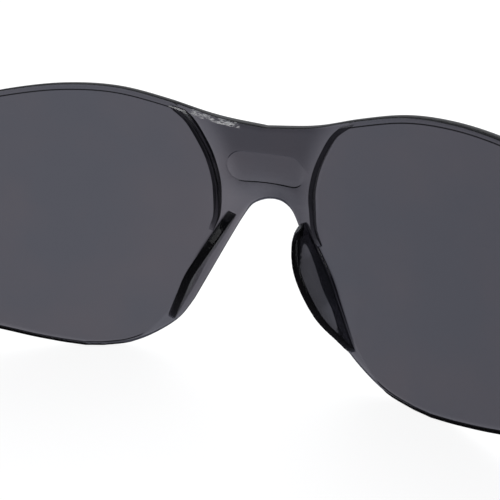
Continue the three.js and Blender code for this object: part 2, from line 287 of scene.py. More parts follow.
def arc(centre, radius, turn):
    """[x, y] points round a centre, at the angles in turn."""
    return [(centre[0] + radius * math.cos(a), centre[1] + radius * math.sin(a)) for a in turn]


def rectangle(x0, x1, y0, y1):
    return [(x0, y0), (x1, y0), (x1, y1), (x0, y1)]


def between(values, span):
    return (values > span[0]) & (values < span[1])


def distance_to(points, line, closed):
    """Distance from each point to a polyline."""
    a = line if closed else line[:-1]
    b = np.roll(line, -1, 0) if closed else line[1:]
    best = np.full(len(points), 1e9)
    ab = b - a
    length2 = np.maximum((ab**2).sum(1), 1e-12)
    for start in range(0, len(points), 2000):
        p = points[start:start + 2000, None, :] - a[None]
        t = np.clip((p * ab).sum(2) / length2, 0, 1)
        gap = p - t[..., None] * ab
        best[start:start + 2000] = np.sqrt((gap**2).sum(2).min(1))
    return best


def inside(points, loop):
    """Which points lie inside a closed 2D loop."""
    x, y = points[:, 0], points[:, 1]
    hit = np.zeros(len(points), bool)
    for (x0, y0), (x1, y1) in zip(loop, np.roll(loop, -1, 0)):
        if y0 == y1:
            continue
        crosses = (y0 > y) != (y1 > y)
        hit ^= crosses & (x < (x1 - x0) * (y - y0) / (y1 - y0) + x0)
    return hit


OUTLINE = even(both_halves(np.vstack([
    catmull(TOP_EDGE, 300), catmull(OUTER_EDGE, 300), catmull(NOSE_EDGE, 120), catmull(ARCH_EDGE, 120),
])), LINE_PITCH, closed=True)
BRIDGE_LOOP = both_halves(catmull(WINDOW_LINE, 400))


def smoothstep(x):
    t = np.clip(x, 0, 1)
    return t * t * (3 - 2 * t)


# ---- the sheet's surfaces ---------------------------------------------------------------

def bowl(x, up):
    """Depth of the sheet's back surface, before the bridge's step and the recess."""
    above = np.maximum(0, up - SADDLE_UP) / SADDLE_FADE
    saddle = SADDLE_DEPTH * np.exp(-(x / SADDLE_REACH)**2 - above**2)
    return x * x / (2 * WRAP_RADIUS) + up * up / (2 * RISE_RADIUS) - saddle


def slant(x, up):
    """Depth taken by one millimetre of thickness where the bowl slopes."""
    return np.sqrt(1 + (x / WRAP_RADIUS)**2 + (up / RISE_RADIUS)**2)


def stadium_distance(points):
    """Signed distance to the recess's outline, positive inside."""
    radius = RECESS_HEIGHT / 2
    reach = RECESS_LENGTH / 2 - radius
    x = np.maximum(np.abs(points[:, 0]) - reach, 0)
    return radius - np.hypot(x, points[:, 1] - RECESS_UP)


def outline_inward():
    """Unit normals of the outline that point into the front."""
    inward = normals_of(OUTLINE, True)
    starts_inside = inside(OUTLINE[:1] + inward[:1] * PROBE, OUTLINE)[0]
    return inward if starts_inside else -inward


def bridge_gap(points):
    """Distance in from the window lines, negative on the windows."""
    inner = inside(points, BRIDGE_LOOP)
    return distance_to(points, BRIDGE_LOOP, closed=True) * np.where(inner, 1, -1)


def rim_drop(points):
    """How far the rounded rim falls away from the sheet's faces."""
    gap = np.minimum(distance_to(points, OUTLINE, closed=True), RIM_ROUND)
    return RIM_ROUND - np.sqrt(np.maximum(RIM_ROUND**2 - (RIM_ROUND - gap)**2, 0))


def sheet_faces(points):
    """Depths of the sheet's back and front faces at [across, up] points."""
    gap = bridge_gap(points)
    drop = rim_drop(points)
    recess = RECESS_DEPTH * smoothstep(stadium_distance(points) / RECESS_ROUND)
    back = -BRIDGE_STEP * smoothstep(gap / STEP_WIDTH) - recess - drop
    x, up = points.T
    thin, thick = BRIDGE_THICKNESS
    bridge = thin + (thick - thin) * smoothstep((up - BRIDGE_THICK_UP[0]) / np.ptp(BRIDGE_THICK_UP))
    growth = (BRIDGE_STEP + bridge - SHEET_THICKNESS) * smoothstep(gap / BRIDGE_EASE)
    front = -SHEET_THICKNESS - growth + drop
    base = bowl(x, up)
    steep = slant(x, up)
    return base + back * steep, base + front * steep


# ---- mesh helpers -------------------------------------------------------------------------

def to_frame(x, y, up):
    """Frame metres of flat-pattern places: across, depth and up."""
    return np.stack([x, np.asarray(y) + BOWL_Y, np.asarray(up) + RIM_TO_BOWL_CENTRE], -1) * MM


def new_object(name, verts, faces):
    mesh = bpy.data.meshes.new(name)
    mesh.from_pydata([tuple(v) for v in verts], [], [tuple(f) for f in faces])
    mesh.update()
    obj = bpy.data.objects.new(name, mesh)
    bpy.context.scene.collection.objects.link(obj)
    return obj


def face_out(obj, weld=True):
    """Turns a closed mesh's faces outward, and first welds points that meet."""
    bm = bmesh.new()
    bm.from_mesh(obj.data)
    if weld:
        bmesh.ops.remove_doubles(bm, verts=bm.verts, dist=1e-7)
    bmesh.ops.recalc_face_normals(bm, faces=bm.faces)
    bm.to_mesh(obj.data)
    bm.free()
    return obj


def mirrored_copy(obj, name):
    """The same piece for the other side."""
    copy = obj.copy()
    copy.data = obj.data.copy()
    copy.name = name
    copy.data.name = name
    bpy.context.scene.collection.objects.link(copy)
    for v in copy.data.vertices:
        v.co.x = -v.co.x
    copy.data.flip_normals()
    return copy


def apply_modifiers(obj):
    bpy.context.view_layer.update()
    graph = bpy.context.evaluated_depsgraph_get()
    mesh = bpy.data.meshes.new_from_object(obj.evaluated_get(graph))
    old = obj.data
    obj.modifiers.clear()
    obj.data = mesh
    mesh.name = obj.name
    bpy.data.meshes.remove(old)
    return obj


def combine(target, other, operation):
    """Joins or cuts two closed meshes; the second is used up."""
    mod = target.modifiers.new(operation, "BOOLEAN")
    mod.operation = operation
    mod.solver = "MANIFOLD"
    mod.object = other
    apply_modifiers(target)
    bpy.data.objects.remove(other, do_unlink=True)
    return target


def drop_folds(obj):
    """Triangulates the mesh and takes out pairs of faces folded flat onto each other."""
    bm = bmesh.new()
    bm.from_mesh(obj.data)
    bmesh.ops.triangulate(bm, faces=bm.faces)
    bmesh.ops.dissolve_degenerate(bm, dist=1e-8, edges=bm.edges)
    bmesh.ops.triangulate(bm, faces=bm.faces)
    twins = {}
    for face in bm.faces:
        twins.setdefault(frozenset(v.index for v in face.verts), []).append(face)
    folded = [face for faces in twins.values() if len(faces) > 1 for face in faces]
    bmesh.ops.delete(bm, geom=folded, context="FACES")
    bm.to_mesh(obj.data)
    bm.free()
    return obj


def bevel(obj, width, segments=3, angle=40):
    mod = obj.modifiers.new("bevel", "BEVEL")
    mod.width = width * MM
    mod.segments = segments
    mod.limit_method = "ANGLE"
    mod.angle_limit = math.radians(angle)
    mod.harden_normals = False
    return apply_modifiers(obj)


def shade(obj, angle=35):
    """Smooth shading, with edges over the angle kept sharp."""
    obj.data.polygons.foreach_set("use_smooth", np.ones(len(obj.data.polygons), bool))
    obj.data.set_sharp_from_angle(angle=math.radians(angle))
    return obj


def extruded(name, outline, bottom, top):
    """A closed prism: an [x, y] outline in frame millimetres carried up along Z."""
    n = len(outline)
    low = [(x * MM, y * MM, bottom * MM) for x, y in outline]
    high = [(x * MM, y * MM, top * MM) for x, y in outline]
    sides = [(i, (i + 1) % n, n + (i + 1) % n, n + i) for i in range(n)]
    caps = [list(range(n))[::-1], list(range(n, 2 * n))]
    return face_out(new_object(name, low + high, caps + sides))


def rod(name, centre, radius, length, sides=48):
    """A closed cylinder along Z, in frame millimetres."""
    ring = arc(centre, radius, full_turn(sides))
    return extruded(name, ring, centre[2] - length / 2, centre[2] + length / 2)


def lofted(name, rings):
    """A closed skin over rings of points, capped at both ends."""
    count = len(rings[0])
    verts = np.vstack(rings)
    faces = []
    for r in range(len(rings) - 1):
        a, b = r * count, (r + 1) * count
        faces += [(a + i, a + (i + 1) % count, b + (i + 1) % count, b + i) for i in range(count)]
    faces.append(list(range(count))[::-1])
    faces.append(list(range(len(verts) - count, len(verts))))
    return face_out(new_object(name, verts, faces))


# ---- front -----------------------------------------------------------------------------------

def sheet_points():
    """Points and fixed lines of the flat pattern that the sheet's faces are drawn on."""
    inward = outline_inward()
    lines = [(OUTLINE + inward * gap, True) for gap in RIM_RINGS]
    window = catmull(WINDOW_LINE, 400)
    window = even(window[between(window[:, 1], BRIDGE_LINE_ENDS)], LINE_PITCH)
    left = normals_of(window, False)
    to_bridge = np.sign(-left[len(left) // 2, 0])
    for gap in np.linspace(0, STEP_WIDTH, 7):
        for side in (1, -1):
            lines.append(((window + left * gap * to_bridge) * (side, 1), False))
    radius = RECESS_HEIGHT / 2
    reach = RECESS_LENGTH / 2 - radius
    for gap in np.linspace(0, RECESS_ROUND, 5):
        r = radius - gap
        turn = np.linspace(-math.pi / 2, math.pi / 2, 20)
        right = np.stack([reach + r * np.cos(turn), RECESS_UP + r * np.sin(turn)], 1)
        lines.append((even(np.vstack([right, right[::-1] * (-1, 1)]), LINE_PITCH, True), True))
    across = np.arange(*GRID_ACROSS, GRID_PITCH)
    rows = np.arange(*GRID_UP, GRID_PITCH * math.sqrt(3) / 2)
    grid = np.array([(x + (GRID_PITCH / 2 if row % 2 else 0), up)
                     for row, up in enumerate(rows) for x in across])
    grid = grid[inside(grid, OUTLINE)]
    fixed = np.vstack([line for line, _ in lines])
    keep = np.ones(len(grid), bool)
    for start in range(0, len(grid), 1000):
        part = grid[start:start + 1000]
        gap = np.sqrt(((part[:, None] - fixed[None])**2).sum(2)).min(1)
        keep[start:start + 1000] = gap > GRID_MARGIN
    return grid[keep], lines


def make_sheet():
    """The whole front sheet: one flat pattern, raised to the back and front faces."""
    grid, lines = sheet_points()
    coords = [Vector(p) for p in grid]
    edges = []
    for line, closed in lines:
        first = len(coords)
        coords += [Vector(p) for p in line]
        edges += [(first + i, first + i + 1) for i in range(len(line) - 1)]
        if closed:
            edges.append((first + len(line) - 1, first))
    points, _, faces, *_ = delaunay_2d_cdt(coords, edges, [], 0, 1e-5, False)
    points = np.array(points)
    faces = np.array(faces)
    keep = inside(points[faces].mean(1), OUTLINE)
    a, b, c = (points[faces[:, i]] for i in range(3))
    area = (b[:, 0] - a[:, 0]) * (c[:, 1] - a[:, 1]) - (b[:, 1] - a[:, 1]) * (c[:, 0] - a[:, 0])
    faces = faces[keep & (np.abs(area) > 1e-9)]
    used = np.unique(faces)
    renumber = np.full(len(points), -1)
    renumber[used] = np.arange(len(used))
    points, faces = points[used], renumber[faces]
    back, front = sheet_faces(points)
    n = len(points)
    across, up = points.T
    verts = np.vstack([to_frame(across, back, up), to_frame(across, front, up)])
    ordered = np.sort(np.vstack([faces[:, [0, 1]], faces[:, [1, 2]], faces[:, [2, 0]]]), 1)
    rim, count = np.unique(ordered, axis=0, return_counts=True)
    walls = [(i, j, j + n, i + n) for i, j in rim[count == 1]]
    both_faces = faces.tolist() + (faces[:, ::-1] + n).tolist()
    return face_out(new_object("front_shell", verts, both_faces + walls), weld=False)


def strip_ring(line, tangents, k, profile, lean=0.0):
    """One section of a strip that stands on the sheet. Its profile is [across, off the sheet]."""
    ring = []
    for across, deep in profile:
        x = line[k][0] + tangents[k][1] * across
        up = line[k][1] - tangents[k][0] * across
        ring.append(to_frame(x - deep * lean, bowl(x, up) + deep, up))
    return np.array(ring)


def flange_depth(share):
    """How far the flange stands back from the sheet along its line."""
    below = share < FLANGE_PEAK
    away = abs(share - FLANGE_PEAK) / (FLANGE_PEAK if below else 1 - FLANGE_PEAK)
    fullness, roundness = FLANGE_BELOW if below else FLANGE_ABOVE
    full = FLANGE_DEPTH + FLANGE_SINK
    return full * max(0.0, 1 - away**fullness)**roundness - FLANGE_SINK


def make_flange(name):
    """Nose flange with a rounded free edge, a little draft and a fillet on the window side."""
    line = catmull(FLANGE_LINE, 240)
    tangents = tangents_of(line)
    half = FLANGE_THICKNESS / 2
    r = FLANGE_ROUND
    edge_turn = np.linspace(0, math.pi / 2, 7)
    root_turn = np.linspace(0, math.pi / 2, 9)
    rings = []
    for share in 0.5 - 0.5 * np.cos(np.linspace(0, math.pi, 121)):
        depth = flange_depth(share)
        size = min(1.0, max(depth, 0.0) / FLANGE_DEPTH)
        fillet = FLANGE_FILLET * size
        root = half + FLANGE_DRAFT * size
        lip = [(half - r + r * math.cos(a), depth - r + r * math.sin(a)) for a in edge_turn]
        curve = [(root + fillet * (1 - math.sin(a)), fillet * (1 - math.cos(a))) for a in root_turn]
        profile = [(root + fillet, -FLANGE_ROOT)] + curve + lip
        profile += [(-a, d) for a, d in lip[::-1]] + [(-root, 0.0), (-root, -FLANGE_ROOT)]
        top = max(depth, FLANGE_END)
        profile = [(a, min(max(d, -FLANGE_ROOT), top)) for a, d in profile]
        k = min(int(round(share * (len(line) - 1))), len(line) - 1)
        rings.append(strip_ring(line, tangents, k, profile, FLANGE_LEAN))
    return lofted(name, rings)


def make_rib(name):
    """Low rib along a window's edge, with rounded top corners."""
    line = catmull(RIB_LINE, 200)
    tangents = tangents_of(line)
    half = RIB_WIDTH / 2
    turn = np.linspace(0, math.pi / 2, 5)
    rings = []
    for k in range(0, len(line), 2):
        share = k / (len(line) - 1)
        taper = math.sqrt(min(1, share / RIB_TAPER, (1 - share) / RIB_TAPER))
        height = RIB_HEIGHT * taper + RIB_LEAST
        r = min(RIB_ROUND, height * 0.8)
        side = [(half - r + r * math.cos(a), height - r + r * math.sin(a)) for a in turn]
        profile = [(half, -RIB_ROOT)] + side + [(-a, d) for a, d in side[::-1]]
        profile.append((-half, -RIB_ROOT))
        rings.append(strip_ring(line, tangents, k, profile))
    return lofted(name, rings)


def make_lug(name):
    """Block behind the end of the sheet, ending in two round ears for the hinge."""
    outline = [(HINGE.x - EAR_RADIUS, BOWL_Y + LUG_INNER_BACK),
               (HINGE.x + EAR_RADIUS - LUG_INSET, BOWL_Y + LUG_OUTER_BACK)]
    outline += arc(HINGE, EAR_RADIUS, np.linspace(0, math.pi, 33))
    lug = extruded(name, outline, HINGE.z - LUG_HEIGHT / 2, HINGE.z + LUG_HEIGHT / 2)
    reach = 4 * EAR_RADIUS
    start = HINGE.y - SLOT_REACH
    gap = rectangle(HINGE.x - reach, HINGE.x + reach, start, start + reach)
    slot = extruded("slot", gap, HINGE.z - SLOT_HEIGHT / 2, HINGE.z + SLOT_HEIGHT / 2)
    lug = bevel(combine(lug, slot, "DIFFERENCE"), LUG_EDGE)
    return combine(lug, rod("bore", HINGE, BORE_RADIUS, 3 * LUG_HEIGHT), "DIFFERENCE")


def surface_normals(points, face):
    """Exact outward normals of the sheet's back (0) or front (1) face, from small steps along it."""
    slopes = []
    for step in ((NORMAL_STEP, 0), (0, NORMAL_STEP)):
        rise = sheet_faces(points + step)[face] - sheet_faces(points - step)[face]
        slopes.append(rise / (2 * NORMAL_STEP))
    n = np.stack([-slopes[0], np.ones(len(points)), -slopes[1]], 1)
    n /= np.linalg.norm(n, axis=1)[:, None]
    return -n if face else n


def pattern_of(mesh):
    """Flat-pattern [across, up] points, and depths, of a mesh's vertices."""
    co = np.empty(len(mesh.vertices) * 3)
    mesh.vertices.foreach_get("co", co)
    x, y, z = (co.reshape(-1, 3) / MM).T
    return np.stack([x, z - RIM_TO_BOWL_CENTRE], 1), y - BOWL_Y


def polish_normals(obj):
    """Gives the sheet's two broad faces exact normals, so that reflections run clean over them."""
    mesh = obj.data
    points, depth = pattern_of(mesh)
    exact = np.zeros((len(points), 3))
    within = distance_to(points, OUTLINE, True) > RIM_ROUND * POLISH_FROM
    known = np.zeros(len(points), bool)
    for face, surface in enumerate(sheet_faces(points)):
        on_face = (np.abs(depth - surface) < POLISH_GAP) & within
        exact[on_face] = surface_normals(points[on_face], face)
        known |= on_face
    loops = len(mesh.loops)
    vertex = np.empty(loops, int)
    mesh.loops.foreach_get("vertex_index", vertex)
    corner = np.empty(loops * 3)
    mesh.corner_normals.foreach_get("vector", corner)
    corner = corner.reshape(-1, 3)
    face_normal = np.empty(len(mesh.polygons) * 3)
    mesh.polygons.foreach_get("normal", face_normal)
    total = np.empty(len(mesh.polygons), int)
    mesh.polygons.foreach_get("loop_total", total)
    face_normal = np.repeat(face_normal.reshape(-1, 3), total, 0)
    wanted = exact[vertex]
    use = known[vertex] & ((wanted * face_normal).sum(1) > POLISH_AGREEMENT)
    corner[use] = wanted[use]
    mesh.normals_split_custom_set([tuple(n) for n in corner])


def paint_edges(obj):
    """Marks, for the material, the painted shade (rim lines, ribs, flanges) and the painted highlight
    streaks.
    """
    points, depth = pattern_of(obj.data)
    gap = distance_to(points, OUTLINE, True)
    back, front = sheet_faces(points)
    across, up = points.T
    on_sheet = (depth < back + ON_FACE) & (depth > front - ON_FACE)
    on_back = np.abs(depth - back) < ON_FACE
    # Painted shade: dark lines along the rim's edges.
    line = on_back & between(gap, RIM_LINE) & (bridge_gap(points) < 0)
    tip = on_sheet & (gap < TIP_WIDTH) & (up > TIP_UP)
    # Painted highlight: pale glint streaks along the bridge's top edge.
    painted_glint = on_back & between(across, GLINT_SPAN) & between(gap, GLINT_GAP) & (up > GLINT_UP)
    # Painted shade over the ribs and the flanges.
    raised = np.where(np.abs(across) < MIDDLE_HALF, depth - back, 0)
    thick = np.select([raised > FLANGE_FROM, raised > RIB_FROM], [FLANGE_SHADE, RIB_SHADE], 0.0)
    for name, values in (("painted_edge_shade", np.maximum(thick, line | tip)), ("painted_glint", painted_glint)):
        mark = obj.data.attributes.new(name, "FLOAT", "POINT")
        mark.data.foreach_set("value", values.astype(float))


def outline_cutter():
    """A deep prism on the front's outline, just inside it, that trims the ribs' top ends."""
    loop = OUTLINE + outline_inward() * RIB_INSET
    rings = [to_frame(loop[:, 0], np.full(len(loop), depth), loop[:, 1]) for depth in RIB_CUTTER_DEPTHS]
    return lofted("cutter", rings)


def make_front():
    """Sheet, ribs, nose flanges and hinge lugs, joined in one closed mesh."""
    shell = make_sheet()
    rib = combine(make_rib("window_rib"), outline_cutter(), "INTERSECT")
    pieces = [make_flange("nose_flange"), make_lug("hinge_lug"), rib]
    for piece in pieces + [mirrored_copy(p, p.name + "_right") for p in pieces]:
        shell = combine(shell, piece, "UNION")
    shade(drop_folds(shell))
    polish_normals(shell)
    paint_edges(shell)
    return shell


# ---- temples ---------------------------------------------------------------------------------

def temple_curve():
    """The arm's middle line and its unit tangents, evenly spread along its length."""
    line = even(catmull(TEMPLE_LINE, 2400), TEMPLE_PITCH)
    return line, tangents_of(line)


TEMPLE_SPOTS, TEMPLE_TANGENTS = temple_curve()


def temple_ring(share, thickness, height, sides=56):
    """A rounded-rectangle section of the arm, in frame metres."""
    k = int(round(min(max(share, 0.0), 1.0) * (len(TEMPLE_SPOTS) - 1)))
    spot, along = TEMPLE_SPOTS[k], TEMPLE_TANGENTS[k]
    bow = max(0.0, (share - STRAIGHT_PART) / (1 - STRAIGHT_PART))
    turn = full_turn(sides)
    c, s = np.cos(turn), np.sin(turn)
    across = np.sign(c) * np.abs(c)**SQUARENESS * thickness / 2
    rise = np.sign(s) * np.abs(s)**SQUARENESS * height / 2
    x = TEMPLE_X + across - TEMPLE_BOW * bow * bow
    return np.stack([x, spot[0] - along[1] * rise + BOWL_Y, spot[1] + along[0] * rise], 1) * MM


def arm_height(share):
    """The arm narrows to its middle height before the sleeve, then to its end."""
    front_height, middle, end = ARM_HEIGHTS
    bend = SLEEVE_START * ARM_BEND
    shaft = front_height + (middle - front_height) * smoothstep(share / bend)
    return shaft + (end - shaft) * smoothstep((share - bend) / (ARM_END - bend))


def sleeve_height(share):
    """The sleeve tapers, with a slight waist."""
    along = (share - SLEEVE_START) / (1 - SLEEVE_START)
    start, end = SLEEVE_HEIGHTS
    return (start + (end - start) * along) * (1 - SLEEVE_WAIST * math.sin(math.pi * along))


def bar(name, shares, thickness, height, ease=None):
    """A closed bar along the arm's line; ease(share) shrinks its sections towards its ends."""
    rings = []
    for share in shares:
        small = ease(share) if ease else 0.0
        rings.append(temple_ring(share, thickness - small, height(share) - small))
    return lofted(name, rings)


def rounded_shares(start, end, reach, count):
    """Shares along the line, closer together in the rounded last bit at each end."""
    turn = np.linspace(0, math.pi / 2, 6)[1:-1] + FIRST_SHARE_TURN
    edge = reach * (1 - np.cos(turn))
    middle = np.linspace(start + reach, end - reach, count)
    return np.r_[start, start + edge, middle, end - edge[::-1], end]


def end_rounding(start, end, radius, reach):
    """How much smaller a section is near either end, for a quarter-round edge."""
    def ease(share):
        near = min(share - start, end - share) / reach
        return 0.0 if near >= 1 else 2 * radius * (1 - math.sqrt(max(0.0, 1 - (1 - near)**2)))
    return ease


def make_arm(name):
    """Arm with a knuckle on its front end, bored for the screw."""
    shares = rounded_shares(0, ARM_END, ARM_ROUND_REACH, 150)
    ease = end_rounding(0, ARM_END, ARM_ROUND, ARM_ROUND_REACH)
    shaft = bar(name, shares, ARM_THICKNESS, arm_height, ease)
    neck = ARM_THICKNESS / 2 - KNUCKLE_INSET
    back = BOWL_Y + TEMPLE_LINE[0][0] + KNUCKLE_RUN
    outline = arc(HINGE, KNUCKLE_RADIUS, np.linspace(math.pi, 2 * math.pi, 33))
    outline += [(TEMPLE_X + neck, back), (TEMPLE_X - neck, back)]
    knuckle = extruded("knuckle", outline, HINGE.z - KNUCKLE_HEIGHT / 2, HINGE.z + KNUCKLE_HEIGHT / 2)
    shaft = combine(shaft, bevel(knuckle, KNUCKLE_EDGE), "UNION")
    bore = rod("bore", HINGE, BORE_RADIUS, ARM_BORE_LENGTH)
    return shade(combine(shaft, bore, "DIFFERENCE"))


def make_sleeve(name):
    """Soft sleeve with a rounded mouth and a run of shallow grip rings."""
    first, last = (SLEEVE_START + (1 - SLEEVE_START) * share for share in GRIP_SPAN)
    mouth = end_rounding(SLEEVE_START, SLEEVE_ROUND_END, SLEEVE_ROUND, SLEEVE_LIP)

    def ease(share):
        small = mouth(share)
        if first < share < last:
            wave = 0.5 - 0.5 * math.cos(2 * math.pi * GRIP_RINGS * (share - first) / (last - first))
            small += 2 * GRIP_DEPTH * wave**3
        return small

    shares = rounded_shares(SLEEVE_START, 1.0, SLEEVE_LIP, 120)
    shares = np.unique(np.r_[shares, np.linspace(first, last, 200)])
    skin = bar(name, shares, SLEEVE_THICKNESS, sleeve_height, ease)
    clear = 2 * SLEEVE_CLEARANCE
    inner = np.linspace(SLEEVE_START - SLEEVE_POCKET_LEAD, ARM_END + SLEEVE_POCKET_EXTRA, 90)
    pocket = bar("pocket", inner, ARM_THICKNESS + clear, lambda share: arm_height(share) + clear)
    skin = combine(skin, pocket, "DIFFERENCE")
    y = BOWL_Y + TEMPLE_LINE[-1][0]
    block = rectangle(*FLOOR_BLOCK_ACROSS, y - FLOOR_BLOCK_HALF, y + FLOOR_BLOCK_HALF)
    return shade(combine(skin, extruded("block", block, -FLOOR_BLOCK_DEPTH, 0), "DIFFERENCE"))


def make_screw(name):
    """Turned screw with a domed, slotted head."""
    tail, top = -LUG_HEIGHT / 2 - SCREW_TAIL, LUG_HEIGHT / 2 + SCREW_HEAD_GAP
    r, head = SCREW_RADIUS, SCREW_HEAD_RADIUS
    rise = SCREW_HEAD_HEIGHT - SCREW_HEAD_EDGE
    dome = [(head * math.cos(a), top + SCREW_HEAD_EDGE + rise * math.sin(a))
            for a in np.linspace(0, math.pi / 2, 9)[:-1]]
    profile = [(r * SCREW_TIP[0], tail), (r, tail + SCREW_TIP[1]), (r, top),
               (head - SCREW_HEAD_CHAMFER[0], top), (head, top + SCREW_HEAD_CHAMFER[1])]
    profile += dome + [(SCREW_CROWN, top + SCREW_HEAD_HEIGHT)]
    turn = full_turn(64)
    rings = [np.stack([HINGE.x + q * np.cos(turn), HINGE.y + q * np.sin(turn),
                       np.full(len(turn), HINGE.z + z)], 1) * MM for q, z in profile]
    screw = lofted(name, rings)
    half, reach = DRIVE_SLOT_WIDTH / 2, 2 * head
    groove = rectangle(HINGE.x - reach, HINGE.x + reach, HINGE.y - half, HINGE.y + half)
    slot = extruded("slot", groove, HINGE.z + top + SCREW_HEAD_HEIGHT - DRIVE_SLOT_DEPTH,
                    HINGE.z + top + DRIVE_CUTTER_TOP)
    return shade(combine(screw, slot, "DIFFERENCE"))


# ---- materials ----------------------------------------------------------------------------------

def node_material(name):
    material = bpy.data.materials.new(name)
    material.use_nodes = True
    tree = material.node_tree
    return material, tree, tree.nodes["Principled BSDF"]


def add_node(tree, kind, inputs=None, **settings):
    node = tree.nodes.new(kind)
    for key, value in settings.items():
        setattr(node, key, value)
    for key, value in (inputs or {}).items():
        node.inputs[key].default_value = value
    return node


def texture(tree, coords, kind, inputs, **settings):
    """A texture node that is read at the given coordinates."""
    node = add_node(tree, kind, inputs, **settings)
    tree.links.new(coords, node.inputs["Vector"])
    return node


def color_ramp(tree, value, low, high):
    """A ramp between two (position, colour) stops."""
    node = add_node(tree, "ShaderNodeValToRGB")
    for stop, (position, color) in zip(node.color_ramp.elements, (low, high)):
        stop.position = position
        stop.color = (*color, 1)
    tree.links.new(value, node.inputs["Fac"])
    return node.outputs["Color"]


def vary_roughness(tree, shader, value, inputs):
    rough = add_node(tree, "ShaderNodeMapRange", inputs)
    tree.links.new(value, rough.inputs["Value"])
    tree.links.new(rough.outputs["Result"], shader.inputs["Roughness"])


def add_bump(tree, shader, height, strength, distance):
    bump = add_node(tree, "ShaderNodeBump", {"Strength": strength, "Distance": distance})
    tree.links.new(height, bump.inputs["Height"])
    tree.links.new(bump.outputs["Normal"], shader.inputs["Normal"])


def smoke_polycarbonate(name, edge_marks=False):
    """Clear smoke-tinted polycarbonate that darkens with thickness; its tint and polish vary a little."""
    material, tree, shader = node_material(name)
    shader.inputs["Transmission Weight"].default_value = 1.0
    shader.inputs["IOR"].default_value = 1.585
    coords = add_node(tree, "ShaderNodeTexCoord").outputs["Object"]
    cloud = texture(tree, coords, "ShaderNodeTexNoise", {"Scale": 45.0, "Detail": 4.0, "Roughness": 0.55})
    tint = color_ramp(tree, cloud.outputs["Fac"], (0.38, (0.89, 0.93, 0.97)), (0.62, (1.0, 0.975, 0.985)))
    tree.links.new(tint, shader.inputs["Base Color"])
    haze = texture(tree, coords, "ShaderNodeTexNoise", {"Scale": 240.0, "Detail": 4.0, "Roughness": 0.6})
    vary_roughness(tree, shader, haze.outputs["Fac"],
                   {"From Min": 0.35, "From Max": 0.75, "To Min": 0.01, "To Max": 0.05})
    wave = texture(tree, coords, "ShaderNodeTexNoise", {"Scale": 90.0, "Detail": 1.0})
    add_bump(tree, shader, wave.outputs["Fac"], 0.03, 0.0005)
    absorb = add_node(tree, "ShaderNodeVolumeAbsorption",
                      {"Color": (*SMOKE_TONE, 1), "Density": SMOKE_DENSITY})
    tree.links.new(absorb.outputs["Volume"], tree.nodes["Material Output"].inputs["Volume"])
    # With edge_marks, painted shade and a painted highlight go over the glass.
    if edge_marks:
        draw_edges(tree, coords, shader)
    return material


def draw_edges(tree, coords, shader):
    """Painted shade on the rim lines, ribs and flanges, and painted highlight streaks on the bridge's top
    edge.
    """
    link = tree.links.new
    # The glint streaks are a painted highlight: a pale shader mixed over the glass.
    mark = add_node(tree, "ShaderNodeAttribute", attribute_name="painted_glint")
    stretch = add_node(tree, "ShaderNodeMapping")
    stretch.inputs["Rotation"].default_value = (0, math.radians(-17), 0)
    stretch.inputs["Scale"].default_value = (0.35, 1.0, 1.6)
    link(coords, stretch.inputs["Vector"])
    streaks = texture(tree, stretch.outputs["Vector"], "ShaderNodeTexNoise",
                      {"Scale": 1900.0, "Detail": 3.0, "Roughness": 0.65})
    sharp = add_node(tree, "ShaderNodeMapRange", {"From Min": 0.44, "From Max": 0.58})
    link(streaks.outputs["Fac"], sharp.inputs["Value"])
    amount = add_node(tree, "ShaderNodeMath", operation="MULTIPLY")
    link(mark.outputs["Fac"], amount.inputs[0])
    link(sharp.outputs["Result"], amount.inputs[1])
    line = add_node(tree, "ShaderNodeAttribute", attribute_name="painted_edge_shade")
    # The pale shader is the painted highlight and the dark one the painted shade; both are mixed over the
    # glass.
    glint_paint = add_node(tree, "ShaderNodeBsdfPrincipled", {"Base Color": (0.9, 0.9, 0.91, 1), "Roughness": 0.6})
    shade_paint = add_node(tree, "ShaderNodeBsdfPrincipled",
                    {"Base Color": (0.012, 0.012, 0.014, 1), "Roughness": 0.4, "Specular IOR Level": 0.15})
    surface = shader.outputs["BSDF"]
    for factor, paint in ((line.outputs["Fac"], shade_paint), (amount.outputs["Value"], glint_paint)):
        mix = add_node(tree, "ShaderNodeMixShader")
        link(factor, mix.inputs["Fac"])
        link(surface, mix.inputs[1])
        link(paint.outputs["BSDF"], mix.inputs[2])
        surface = mix.outputs["Shader"]
    link(surface, tree.nodes["Material Output"].inputs["Surface"])


def soft_rubber(name):
    """Matt black soft-touch rubber with a fine moulded texture and a little dust in it."""
    material, tree, shader = node_material(name)
    shader.inputs["Sheen Weight"].default_value = 0.15
    shader.inputs["Sheen Roughness"].default_value = 0.5
    coords = add_node(tree, "ShaderNodeTexCoord").outputs["Object"]
    patch = texture(tree, coords, "ShaderNodeTexNoise", {"Scale": 160.0, "Detail": 5.0, "Roughness": 0.65})
    dust = color_ramp(tree, patch.outputs["Fac"],
                      (0.35, (0.012, 0.012, 0.013)), (0.8, (0.032, 0.031, 0.031)))
    tree.links.new(dust, shader.inputs["Base Color"])
    vary_roughness(tree, shader, patch.outputs["Fac"], {"To Min": 0.52, "To Max": 0.75})
    grain = texture(tree, coords, "ShaderNodeTexVoronoi", {"Scale": 2600.0})
    add_bump(tree, shader, grain.outputs["Distance"], 0.35, 0.0001)
    return material


